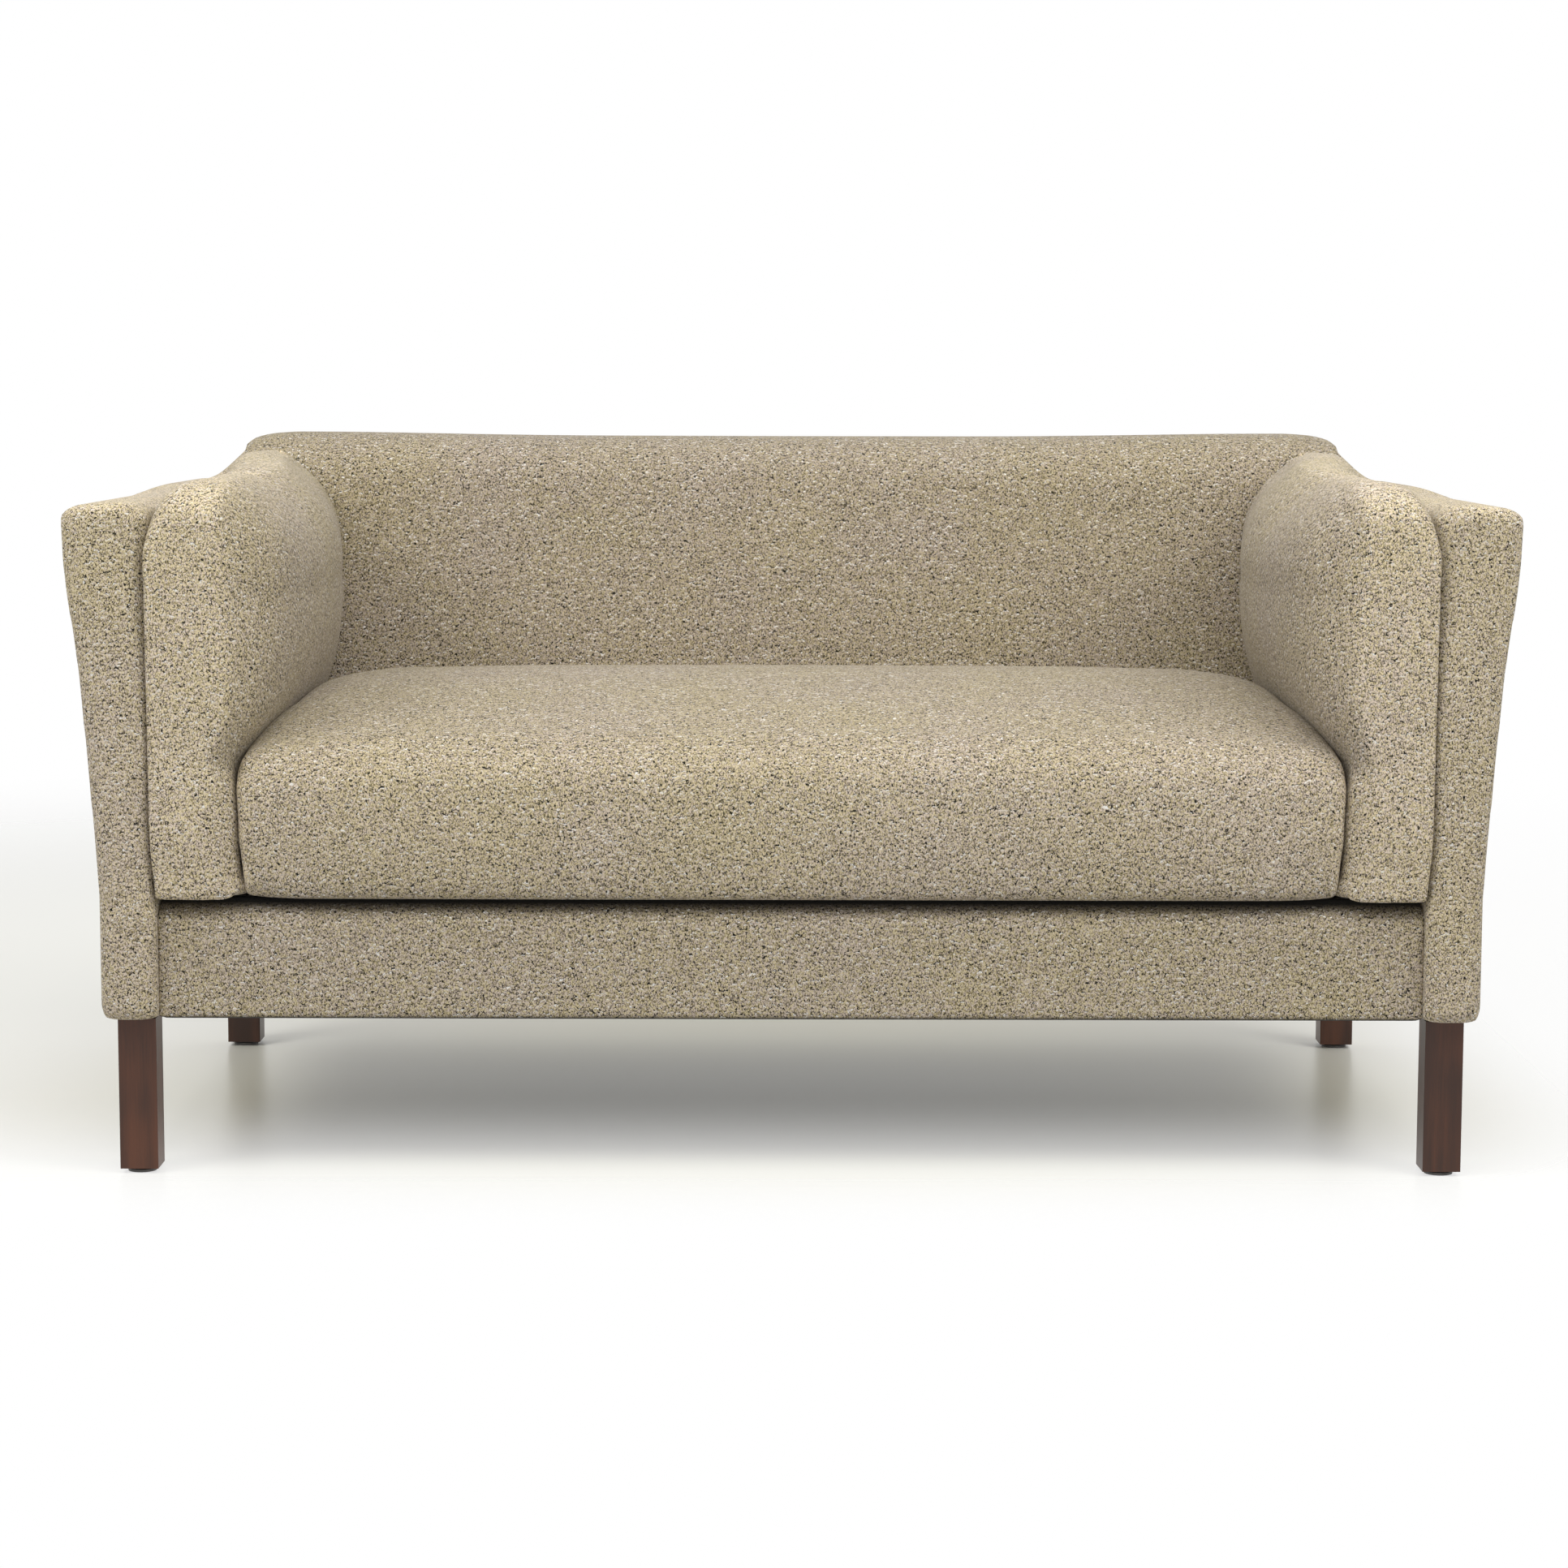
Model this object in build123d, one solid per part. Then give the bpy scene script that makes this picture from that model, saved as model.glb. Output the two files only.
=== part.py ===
from build123d import *
from math import cos, pi, radians, sin, sqrt, tan
import os

# Upholstered two-seat sofa. Millimetres, +Z up, front towards -Y.
# The origin is on the floor, under the middle of the sofa.

# Overall sizes
overall_width = 1500
overall_depth = 800
overall_height = 763

# Clearances
rest_gap = 0.3
fit_clearance = 0.05
cut_overrun = 5

# Legs, and how far the front ones stand behind the panel fronts and inside the panel sides
leg_width = 40
leg_depth = 40
leg_length = 160
leg_setback = 18
leg_rear_setback = 22
leg_inset = 15.7
leg_ease = 1.5

# Levelling glides: floor pad, collar and threaded stem
glide_pad_radius = 15
glide_pad_thickness = 2.5
glide_socket_depth = 1.1
glide_collar_radius = 6.5
glide_collar_height = 2.4
glide_collar_gap = 0.1
thread_radius = 4
stem_length = 38
stem_end_room = 3
insert_wall = 2
insert_length = 20
leg_bolt_half_length = 45

# Side panels: thickness at the base, and the outward flare of the outer face
panel_thickness = 60
panel_flare = 30
panel_flare_sag = 3
flare_start_rise = 135
flare_top_drop = 31
arm_drop = 56
panel_outer_drop = 7
panel_top_round = 14
panel_base_round = 10
panel_front_ease = 9
panel_inner_ease = 24
panel_nose_depth = 24
panel_tail_depth = 8
panel_rear_ease = 6
panel_foot_ease = 4
panel_wrap = 12

# Shoulders, where the back rises behind the panels
shoulder_depth = 70
shoulder_reach = 62
shoulder_mid_reach = 18
shoulder_mid_drop = 16
shoulder_bow = 3

# Base frame of timber rails, posts and blocks
base_lip = 7
rail_height = 108
rail_thickness = 28
side_rail_thickness = 28
post_depth = 40
post_inner_wrap = 8
center_rail_height = 70
center_rail_drop = 10
corner_block_leg = 60
corner_block_height = 50
corner_block_lift = 8
corner_screw_share = 2 / 3
screw_radius = 2.5
screw_head_radius = 4.5
screw_head_height = 3
screw_bite = 18

# Arm timbers and the board behind the outer face
arm_rail_width = 40
arm_rail_height = 35
arm_rail_outer_gap = 8
tack_rail_width = 18
tack_rail_height = 25
tack_rail_lift = 20
arm_board_thickness = 4

# Back timbers, board and cover
upright_width = 40
upright_depth = 28
upright_screw_shares = (1 / 3, 2 / 3)
back_top_rail_height = 40
back_lower_rail_height = 40
back_lower_rail_lift = 20
back_cap_thickness = 23
back_board_thickness = 4
outside_back_thickness = 24
outside_back_top_round = 18

# Webbing, deck and dust cover
webbing_thickness = 2
seat_strip_width = 60
seat_strip_count = 8
cross_strip_count = 3
strip_landing = 20
back_strip_width = 50
back_strip_count = 5
deck_thickness = 6
dust_cover_thickness = 2
dust_cover_lap = 14

# Front rail cover
rail_cover_thickness = 13
rail_setback = 15
rail_cover_round = 6

# Loose seat cushion
cushion_thickness = 212
cushion_front_drop = 42
cushion_rear_drop = 22
cushion_side_gap = 2
cushion_rear_gap = 4
cushion_side_rise = 85
cushion_side_height = 38
cushion_front_round = 60
cushion_rear_round = 34
cushion_bottom_round = 14
cushion_end_round = 12
cushion_plan_round = 55
cushion_rear_plan_round = 30
cushion_front_bow = 3
cushion_end_crown = 1.5

# Each station is the half width, the rise of the lower edge, the fall of the top and the
# drawing-in of the front and rear, from the side of the cushion to its middle
cushion_station_shares = [
    (1, 1, 1, 1),
    (0.995, 0.44, 0.79, 0.66),
    (0.983, 0.18, 0.60, 0.40),
    (0.960, 0.06, 0.38, 0.20),
    (0.925, 0.02, 0.21, 0.08),
    (0.873, 0, 0.115, 0.02),
    (0.785, 0, 0.046, 0),
    (0.524, 0, 0.01, 0),
]

# Inner arm pads
pad_low_thickness = 85
pad_bulge = 41
pad_top_rise = 31
pad_front_drop = 9
pad_rear_rise = 7
pad_bulge_drop = 101
pad_waist_rise = 142
pad_outer_drop = 27
pad_crown_reach = 75
pad_foot_round = 15
pad_front_recess = 2
pad_nose_depth = 90
pad_nose_outer = 12
pad_nose_inner = 34
pad_nose_top = 44
pad_nose_foot = 7
pad_back_gap = 3.5

# Shares of the width and height between an arc's ends, where the arc passes
pad_underside_shares = (0.78, 0.42)
pad_shoulder_shares = (0.18, 0.61)
pad_crown_shares = (0.63, 0.18)

# Shares of the pad's length, and of the rise of its top, behind the rounded nose
pad_length_shares = [(0.2, 0.15), (0.5, 0.6), (0.8, 1), (1, 0.8)]

# Steps round each rounded end
nose_steps = 6

# Inner back pad
back_depth = 200
back_rake = 58
back_top_round = 62
back_foot_round = 14
back_seam_ease = 1
back_corner_reach = 36
back_crown = 10
back_side_crown = 1.5
back_top_sag = 2
back_top_corner_drop = 11
back_top_bow = 1.5

# Each station is the half width, the fall of the top and the fullness of the front face
back_station_shares = [
    (1, 1, 0),
    (0.985, 0.55, 0.02),
    (0.962, 0.18, 0.06),
    (0.924, 0, 0.08),
    (0.8, 0, 0.12),
    (0.6, 0, 0.55),
    (0.35, 0, 0.9),
]

# Levels
leg_bottom = glide_pad_thickness + fit_clearance + glide_collar_height + glide_collar_gap
base_bottom = leg_bottom + leg_length
rail_bottom = base_bottom + base_lip
rail_top = rail_bottom + rail_height
side_rail_top = rail_top + webbing_thickness
deck_bottom = side_rail_top + webbing_thickness
deck_top = deck_bottom + deck_thickness
seat_level = deck_top + rest_gap
cushion_top = seat_level + cushion_thickness
back_timber_top = overall_height - back_cap_thickness
arm_height = overall_height - arm_drop
flare_start_height = base_bottom + flare_start_rise
flare_top_height = arm_height - flare_top_drop
pad_top_height = arm_height + pad_top_rise
pad_bulge_height = arm_height - pad_bulge_drop
pad_waist_height = seat_level + pad_waist_rise
pad_outer_height = arm_height - pad_outer_drop
shoulder_height = overall_height - back_top_corner_drop

# Planes across the sofa, right side
outer_half = overall_width / 2
base_half = outer_half - panel_flare
inner_half = base_half - panel_thickness
post_inner = inner_half + post_inner_wrap
pad_low_half = inner_half - pad_low_thickness
cushion_half = pad_low_half - cushion_side_gap
leg_outer = base_half - leg_inset
leg_center = leg_outer - leg_width / 2

# Planes from front to rear
front = -overall_depth / 2
rear = overall_depth / 2
front_post = (front + leg_setback, front + leg_setback + post_depth)
rail_face = front + rail_setback
front_rail_y = (rail_face + rail_cover_thickness, rail_face + rail_cover_thickness + rail_thickness)
board_rear = rear - outside_back_thickness
board_front = board_rear - back_board_thickness
upright_y = (board_front - upright_depth, board_front)
rear_rail_y = (board_front - rail_thickness, board_front)
pad_rear = upright_y[0] - webbing_thickness
rear_post = (rear - leg_rear_setback - post_depth, rear - leg_rear_setback)
back_face = rear - back_depth


def block(x, y, z):
    """Rectangular solid between pairs of limits along each axis."""
    middle = Pos((x[0] + x[1]) / 2, (y[0] + y[1]) / 2, (z[0] + z[1]) / 2)
    return middle * Box(x[1] - x[0], y[1] - y[0], z[1] - z[0])


def rod(x, y, z, radius):
    """Upright round bar between two heights."""
    return Pos(x, y, (z[0] + z[1]) / 2) * Cylinder(radius, z[1] - z[0])


def mix(start, end, share):
    """Value at a share of the way from start to end."""
    return start + (end - start) * share


def outline(start, *steps):
    """Closed wire: a step of one point is a line to it, one of two is an arc through the first."""
    edges = []
    here = Vector(*start)
    for step in steps:
        points = [Vector(*point) for point in step]
        if len(points) == 1:
            edges.append(Edge.make_line(here, points[0]))
        else:
            edges.append(Edge.make_three_point_arc(here, points[0], points[1]))
        here = points[-1]
    edges.append(Edge.make_line(here, Vector(*start)))
    return Wire(edges)


def soft_ring(corners, eases, bows):
    """Closed wire round four corners, each cut back by its ease and rounded, with bowed sides."""
    points = [Vector(*corner) for corner in corners]
    count = len(points)
    middle = sum(points[1:], points[0]) / count
    edges = []
    for index in range(count):
        before = (points[index] - points[index - 1]).normalized()
        after = (points[(index + 1) % count] - points[index]).normalized()
        ease = eases[index]
        half_turn = radians(before.get_angle(after)) / 2
        depth = ease / tan(half_turn) * (1 / cos(half_turn) - 1)
        tip = points[index] + (after - before).normalized() * depth
        start = points[index] - before * ease
        end = points[index] + after * ease
        edges.append(Edge.make_three_point_arc(start, tip, end))
        target = points[(index + 1) % count] - after * eases[(index + 1) % count]
        mid = (end + target) / 2
        outward = mid - middle
        outward = (outward - after * outward.dot(after)).normalized()
        if bows[index] == 0:
            edges.append(Edge.make_line(end, target))
        else:
            edges.append(Edge.make_three_point_arc(end, mid + outward * bows[index], target))
    return Wire(edges)


def both_ways(stations, middle):
    """Stations from the left side to the middle and on to the right side."""
    left = [(-station[0],) + tuple(station[1:]) for station in stations]
    return left + [middle] + list(reversed(stations))


def nose():
    """Shares of the depth of a rounded end and of its drawing-in, from its tip inwards."""
    turns = [step / nose_steps * pi / 2 for step in range(nose_steps + 1)]
    return [(1 - cos(turn), 1 - sin(turn)) for turn in turns]


def loft(rings):
    """Solid with straight lines from each ring to the next."""
    return Part(Solid.make_loft(rings, ruled=True).wrapped)


def quarter(start, end):
    """Point half way round a corner that leaves start upwards or downwards and meets end level."""
    return (end[0] + (start[0] - end[0]) * sqrt(0.5), start[1] + (end[1] - start[1]) * sqrt(0.5))


def save(name, *shapes):
    """Write one node's solids to its file."""
    solids = [solid for shape in shapes for solid in shape.solids()]
    whole = solids[0] if len(solids) == 1 else Compound(children=solids)
    export_step(whole, f"parts/{name}.step")


def save_pair(name, right):
    """Write a right-hand piece and its mirror image on the left."""
    save(name + "_right", right)
    save(name + "_left", mirror(right, about=Plane.YZ))


def cut(piece, *tools):
    """Piece with the room of each tool taken out."""
    for tool in tools:
        piece = piece - tool
    return piece


def along_y(x, z, y, radius):
    """Round bar along the depth of the sofa."""
    return Pos(x, (y[0] + y[1]) / 2, z) * Rot(90, 0, 0) * Cylinder(radius, y[1] - y[0])


def along_x(x, y, z, radius):
    """Round bar along the width of the sofa."""
    return Pos((x[0] + x[1]) / 2, y, z) * Rot(0, 90, 0) * Cylinder(radius, x[1] - x[0])


def mirrored(shape):
    """The same piece on the other side of the sofa."""
    return mirror(shape, about=Plane.YZ)


os.makedirs("parts", exist_ok=True)


# Levelling glides: a round floor pad, and a hexagon collar on a threaded stem

stem_foot = glide_pad_thickness - glide_socket_depth + fit_clearance
stem_top = stem_foot + stem_length
collar_foot = glide_pad_thickness + fit_clearance
insert_radius = thread_radius + fit_clearance + insert_wall
front_leg = (front_post[0], front_post[0] + leg_depth)
rear_leg = (rear_post[0], rear_post[0] + leg_depth)
leg_places = {"front": front_leg, "rear": rear_leg}


def glide_pad(y):
    """Floor pad with a shallow socket for the tip of the stem."""
    disc = rod(leg_center, y, (0, glide_pad_thickness), glide_pad_radius)
    socket_z = (glide_pad_thickness - glide_socket_depth, glide_pad_thickness + cut_overrun)
    return disc - rod(leg_center, y, socket_z, thread_radius + fit_clearance)


def glide_stem(y):
    """Threaded stem with its collar, which turns in the leg's insert."""
    stem = rod(leg_center, y, (stem_foot, stem_top), thread_radius)
    hexagon = RegularPolygon(glide_collar_radius, 6, major_radius=False)
    collar = Pos(leg_center, y, collar_foot) * extrude(hexagon, glide_collar_height)
    return stem + collar


def sleeve(y, z):
    """Round insert with a hole for the thread."""
    hole_z = (z[0] - cut_overrun, z[1] + cut_overrun)
    hole = rod(leg_center, y, hole_z, thread_radius + fit_clearance)
    return rod(leg_center, y, z, insert_radius) - hole


def insert_pocket(y, z):
    """Room for an insert, open towards the end that the thread enters."""
    return rod(leg_center, y, z, insert_radius + fit_clearance)


# Legs: square timber under the posts, each held by a bolt and carrying a glide

glide_insert_z = (leg_bottom, leg_bottom + insert_length)
bolt_insert_z = (base_bottom, base_bottom + insert_length)
bolt_z = (base_bottom - leg_bolt_half_length, base_bottom + leg_bolt_half_length)
bolt_room_z = (bolt_z[0] - cut_overrun, bolt_z[1] + cut_overrun)


def leg(y_range):
    """Square leg with eased edges and its two holes."""
    y = (y_range[0] + y_range[1]) / 2
    body = block((leg_outer - leg_width, leg_outer), y_range, (leg_bottom, base_bottom))
    body = fillet(body.edges().filter_by(Axis.Z), leg_ease)
    stem_room = rod(leg_center, y, (0, stem_top + stem_end_room), thread_radius + fit_clearance)
    pocket = insert_pocket(y, (0, glide_insert_z[1]))
    bolt_room = rod(leg_center, y, bolt_room_z, thread_radius + fit_clearance)
    return cut(body, pocket, stem_room, bolt_room)


bolts = []
bolt_inserts = []
glide_inserts = []
for place, y_range in leg_places.items():
    y = (y_range[0] + y_range[1]) / 2
    save_pair(f"leg_{place}", leg(y_range))
    save_pair(f"glide_pad_{place}", glide_pad(y))
    save_pair(f"glide_stem_{place}", glide_stem(y))
    bolts.append(rod(leg_center, y, bolt_z, thread_radius))
    bolt_inserts.append(sleeve(y, bolt_insert_z))
    glide_inserts.append(sleeve(y, glide_insert_z))
save("leg_bolts", *bolts, *[mirrored(bolt) for bolt in bolts])
save("leg_bolt_inserts", *bolt_inserts, *[mirrored(insert) for insert in bolt_inserts])
save("glide_inserts", *glide_inserts, *[mirrored(insert) for insert in glide_inserts])


# The flare of the side panels: the outer face is upright low down and leans out above

def flare(y, inset):
    """Foot, start, middle and top of the flared face, drawn in by an inset."""
    foot_x = base_half - inset
    top_x = outer_half - inset
    middle_x = (foot_x + top_x) / 2 - panel_flare_sag
    middle_z = (flare_start_height + flare_top_height) / 2
    return [(foot_x, y, flare_start_height), (middle_x, y, middle_z), (top_x, y, flare_top_height)]


def flared_post(y_range):
    """Corner post with its outer edge cut to the flare, on top of a leg."""
    y = y_range[0]
    start, middle, top = flare(y, panel_wrap + arm_board_thickness)
    wire = outline(
        (post_inner, y, base_bottom),
        [(start[0], y, base_bottom)],
        [start],
        [middle, top],
        [(top[0], y, post_top)],
        [(post_inner, y, post_top)],
    )
    return extrude(Face(wire), y_range[1] - y, dir=(0, 1, 0))


def drilled(post, y_range):
    """Post with the pocket of its insert and the room of its bolt."""
    y = (y_range[0] + y_range[1]) / 2
    pocket = insert_pocket(y, (base_bottom - cut_overrun, bolt_insert_z[1]))
    bolt_room = rod(leg_center, y, bolt_room_z, thread_radius + fit_clearance)
    return cut(post, pocket, bolt_room)


post_top = arm_height - panel_outer_drop - panel_wrap
post_gap_y = (front_post[1], rear_post[0])
front_post_right = flared_post(front_post)
rear_post_right = flared_post(rear_post)


# Rails of the base, the centre rail and the corner blocks

rail_z = (rail_bottom, rail_top)
front_rail = block((-post_inner, post_inner), front_rail_y, rail_z)
rear_rail = block((-post_inner, post_inner), rear_rail_y, rail_z)
side_rail_x = (post_inner, post_inner + side_rail_thickness)
side_rail_right = block(side_rail_x, post_gap_y, (rail_bottom, side_rail_top))
center_rail_top = rail_top - center_rail_drop
center_rail_z = (center_rail_top - center_rail_height, center_rail_top)
half_center = rail_thickness / 2
center_rail = block((-half_center, half_center), (front_rail_y[1], rear_rail_y[0]), center_rail_z)

block_z = (rail_bottom + corner_block_lift, rail_bottom + corner_block_lift + corner_block_height)
screw_z = (block_z[0] + block_z[1]) / 2
screw_offset = corner_block_leg * corner_screw_share
screw_seat = corner_block_leg - screw_offset - 2 * screw_head_height


def corner_block(rail_y, inward):
    """Three-sided block in the corner between a rail and the side rail."""
    wire = outline(
        (post_inner, rail_y, block_z[0]),
        [(post_inner - corner_block_leg, rail_y, block_z[0])],
        [(post_inner, rail_y + inward * corner_block_leg, block_z[0])],
    )
    return extrude(Face(wire), corner_block_height, dir=(0, 0, 1))


def rail_screw(rail_y, inward, spare):
    """Screw from a corner block into the front or rear rail, larger all round by the spare."""
    x = post_inner - screw_offset
    seat = rail_y + inward * screw_seat
    tip = rail_y - inward * (screw_bite + spare)
    shank = along_y(x, screw_z, sorted((tip, seat)), screw_radius + spare)
    outer_end = seat + inward * (screw_head_height if spare == 0 else corner_block_leg)
    head = along_y(x, screw_z, sorted((seat, outer_end)), screw_head_radius + spare)
    return shank + head


def side_screw(rail_y, inward, spare):
    """Screw from a corner block into the side rail, larger all round by the spare."""
    y = rail_y + inward * screw_offset
    seat = post_inner - screw_seat
    tip = post_inner + screw_bite + spare
    shank = along_x((seat, tip), y, screw_z, screw_radius + spare)
    outer_end = seat - (screw_head_height if spare == 0 else corner_block_leg)
    head = along_x((outer_end, seat), y, screw_z, screw_head_radius + spare)
    return shank + head


block_screws = []
block_rooms = []
corner_sites = {"front": (front_rail_y[1], 1), "rear": (rear_rail_y[0], -1)}
for place, (rail_y, inward) in corner_sites.items():
    for screw in (rail_screw, side_screw):
        block_screws.append(screw(rail_y, inward, 0))
        block_rooms.append(screw(rail_y, inward, fit_clearance))
block_rooms += [mirrored(room) for room in block_rooms]
corner_blocks = []
for place, (rail_y, inward) in corner_sites.items():
    corner_blocks.append(corner_block(rail_y, inward))
    save_pair(f"corner_block_{place}", cut(corner_blocks[-1], *block_rooms))
save("corner_block_screws", *block_screws, *[mirrored(screw) for screw in block_screws])
front_rail_cut = cut(front_rail, *block_rooms)
rear_rail_cut = cut(rear_rail, *block_rooms)
save("front_rail", front_rail_cut)
save("rear_rail", rear_rail_cut)
save_pair("side_rail", cut(side_rail_right, *block_rooms))
save("center_rail", center_rail)


# Timbers of the arms, and the board behind the outer face

arm_rail_outer = outer_half - panel_wrap - arm_board_thickness - arm_rail_outer_gap
arm_rail_x = (arm_rail_outer - arm_rail_width, arm_rail_outer)
arm_rail_right = block(arm_rail_x, post_gap_y, (post_top - arm_rail_height, post_top))
tack_rail_foot = seat_level + tack_rail_lift
tack_rail_x = (post_inner, post_inner + tack_rail_width)
tack_rail_right = block(tack_rail_x, post_gap_y, (tack_rail_foot, tack_rail_foot + tack_rail_height))
save_pair("arm_top_rail", arm_rail_right)
save_pair("arm_tack_rail", tack_rail_right)


def arm_board():
    """Thin board bent over the outer edges of the posts."""
    y = front_post[0]
    outer_start, outer_middle, outer_top = flare(y, panel_wrap)
    inner_start, inner_middle, inner_top = flare(y, panel_wrap + arm_board_thickness)
    wire = outline(
        (inner_start[0], y, rail_bottom),
        [(outer_start[0], y, rail_bottom)],
        [outer_start],
        [outer_middle, outer_top],
        [(outer_top[0], y, post_top)],
        [(inner_top[0], y, post_top)],
        [inner_top],
        [inner_middle, inner_start],
    )
    return extrude(Face(wire), rear_post[1] - y, dir=(0, 1, 0))


arm_board_right = arm_board()
save_pair("outside_arm_board", arm_board_right)


# Timbers of the back, their screws, and the board behind them

upright_x = (post_inner - upright_width, post_inner)
upright_z = (rail_top, back_timber_top - back_top_rail_height)
upright_right = block(upright_x, upright_y, upright_z)
half_upright = upright_width / 2
center_upright = block((-half_upright, half_upright), upright_y, upright_z)
back_top_rail = block((-inner_half, inner_half), upright_y, (upright_z[1], back_timber_top))
lower_foot = rail_top + back_lower_rail_lift
lower_rail_z = (lower_foot, lower_foot + back_lower_rail_height)
lower_rail_right = block((half_upright, upright_x[0]), upright_y, lower_rail_z)
back_board = block((-inner_half, inner_half), (board_front, board_rear), (rail_bottom, back_timber_top))

upright_middle_y = (upright_y[0] + upright_y[1]) / 2
upright_screws = []
upright_rooms = []
for share in upright_screw_shares:
    height = mix(lower_rail_z[1], post_top, share)
    shank_x = (upright_x[0], upright_x[1] + screw_bite)
    head_x = (upright_x[0] - screw_head_height, upright_x[0])
    shank = along_x(shank_x, upright_middle_y, height, screw_radius)
    upright_screws.append(shank + along_x(head_x, upright_middle_y, height, screw_head_radius))
    room_x = (shank_x[0] - cut_overrun, shank_x[1] + fit_clearance)
    upright_rooms.append(along_x(room_x, upright_middle_y, height, screw_radius + fit_clearance))
save("back_upright_screws", *upright_screws, *[mirrored(screw) for screw in upright_screws])
save_pair("back_upright", cut(upright_right, *upright_rooms))
save("back_center_upright", center_upright)
save("back_top_rail", back_top_rail)
save("back_lower_rails", lower_rail_right, mirrored(lower_rail_right))
save("back_board", back_board)
save_pair("front_post", drilled(front_post_right, front_post))
save_pair("rear_post", cut(drilled(rear_post_right, rear_post), *upright_rooms))


# Webbing of the seat and back, the seat deck and the dust cover

strip_pitch = 2 * inner_half / (seat_strip_count + 1)
strip_y = (front_rail_y[1] - strip_landing, rear_rail_y[0] + strip_landing)
strip_z = (rail_top, rail_top + webbing_thickness)
half_strip = seat_strip_width / 2
seat_strips = []
for index in range(seat_strip_count):
    x = strip_pitch * (index - (seat_strip_count - 1) / 2)
    seat_strips.append(block((x - half_strip, x + half_strip), strip_y, strip_z))
save("seat_webbing_lengthwise", *seat_strips)

cross_reach = post_inner + strip_landing
cross_pitch = (rear_rail_y[0] - front_rail_y[1]) / (cross_strip_count + 1)
cross_z = (side_rail_top, side_rail_top + webbing_thickness)
cross_strips = []
for index in range(cross_strip_count):
    y = front_rail_y[1] + cross_pitch * (index + 1)
    cross_strips.append(block((-cross_reach, cross_reach), (y - half_strip, y + half_strip), cross_z))
save("seat_webbing_crosswise", *cross_strips)

back_reach = upright_x[0] + strip_landing
back_pitch = (upright_z[1] - lower_rail_z[1]) / (back_strip_count + 1)
half_back_strip = back_strip_width / 2
back_strips = []
for index in range(back_strip_count):
    z = lower_rail_z[1] + back_pitch * (index + 1)
    strip_range = (z - half_back_strip, z + half_back_strip)
    back_strips.append(block((-back_reach, back_reach), (pad_rear, upright_y[0]), strip_range))
save("back_webbing", *back_strips)

deck_y = (front_rail_y[1], upright_y[0])
save("seat_deck", block((-inner_half, inner_half), deck_y, (deck_bottom, deck_top)))
dust_y = (front_rail_y[1] - dust_cover_lap, rear_rail_y[1])
dust_z = (rail_bottom - dust_cover_thickness, rail_bottom)
save("dust_cover", block((-inner_half, inner_half), dust_y, dust_z))


# Front rail cover: padding and fabric over the front, top and lower edge of the rail

rail_cover = block((-inner_half, inner_half), (rail_face, front_rail_y[1]), (base_bottom, deck_top))
rail_cover = fillet(rail_cover.edges().filter_by(Axis.X).group_by(Axis.Y)[0], rail_cover_round)
under_rail = block((-inner_half, inner_half), (dust_y[0], front_rail_y[1]), (base_bottom, rail_bottom))
save("front_rail_cover", cut(rail_cover, front_rail, under_rail, *seat_strips))


# Side panels: padding and fabric round the arm timbers, with the raised shoulder at the back

def panel_ring(y, share, outer_ease, inner_ease):
    """Outline of the panel across the sofa, drawn in by a share of its eases."""
    outer_in = outer_ease * share
    inner_x = inner_half + inner_ease * share
    foot = base_bottom + panel_foot_ease * share
    top = arm_height - outer_in
    low_x = base_half - outer_in
    low_tip = (low_x - panel_base_round, foot)
    low_side = (low_x, foot + panel_base_round)
    low_mid = quarter(low_side, low_tip)
    start, middle, high = flare(y, outer_in)
    high_side = (high[0], flare_top_height)
    high_tip = (high[0] - panel_top_round, top - panel_outer_drop)
    high_mid = quarter(high_side, high_tip)
    return outline(
        (inner_x, y, foot),
        [(low_tip[0], y, low_tip[1])],
        [(low_mid[0], y, low_mid[1]), (low_side[0], y, low_side[1])],
        [start],
        [middle, high],
        [(high_mid[0], y, high_mid[1]), (high_tip[0], y, high_tip[1])],
        [(inner_x, y, top)],
    )


def shoulder():
    """Rise from the panel's top to the side of the back, round above and hollow below."""
    y = rear - shoulder_depth
    top_width = outer_half - panel_top_round - inner_half
    end_z = mix(arm_height, arm_height - panel_outer_drop, shoulder_reach / top_width)
    peak = (inner_half, shoulder_height)
    turn = (inner_half + shoulder_mid_reach, shoulder_height - shoulder_mid_drop)
    end = (inner_half + shoulder_reach, end_z)
    upper = ((peak[0] + turn[0]) / 2 + shoulder_bow, (peak[1] + turn[1]) / 2 + shoulder_bow)
    lower = ((turn[0] + end[0]) / 2 - shoulder_bow, (turn[1] + end[1]) / 2 - shoulder_bow)
    wire = outline(
        (inner_half, y, post_top),
        [(peak[0], y, peak[1])],
        [(upper[0], y, upper[1]), (turn[0], y, turn[1])],
        [(lower[0], y, lower[1]), (end[0], y, end[1])],
        [(end[0], y, post_top)],
    )
    return extrude(Face(wire), shoulder_depth, dir=(0, 1, 0))


def side_panel():
    """Whole soft panel of the right arm, before the timbers are let in."""
    nose_rings = []
    for depth, share in nose():
        y = front + panel_nose_depth * depth
        nose_rings.append(panel_ring(y, share, panel_front_ease, panel_inner_ease))
    tail_rings = []
    for depth, share in reversed(nose()):
        y = rear - panel_tail_depth * depth
        tail_rings.append(panel_ring(y, share, panel_rear_ease, 0))
    nose_end = front + panel_nose_depth
    tail_start = rear - panel_tail_depth
    middle = extrude(Face(panel_ring(nose_end, 0, 0, 0)), tail_start - nose_end, dir=(0, 1, 0))
    body = middle + loft(nose_rings) + loft(tail_rings)
    return body + shoulder()


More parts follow.
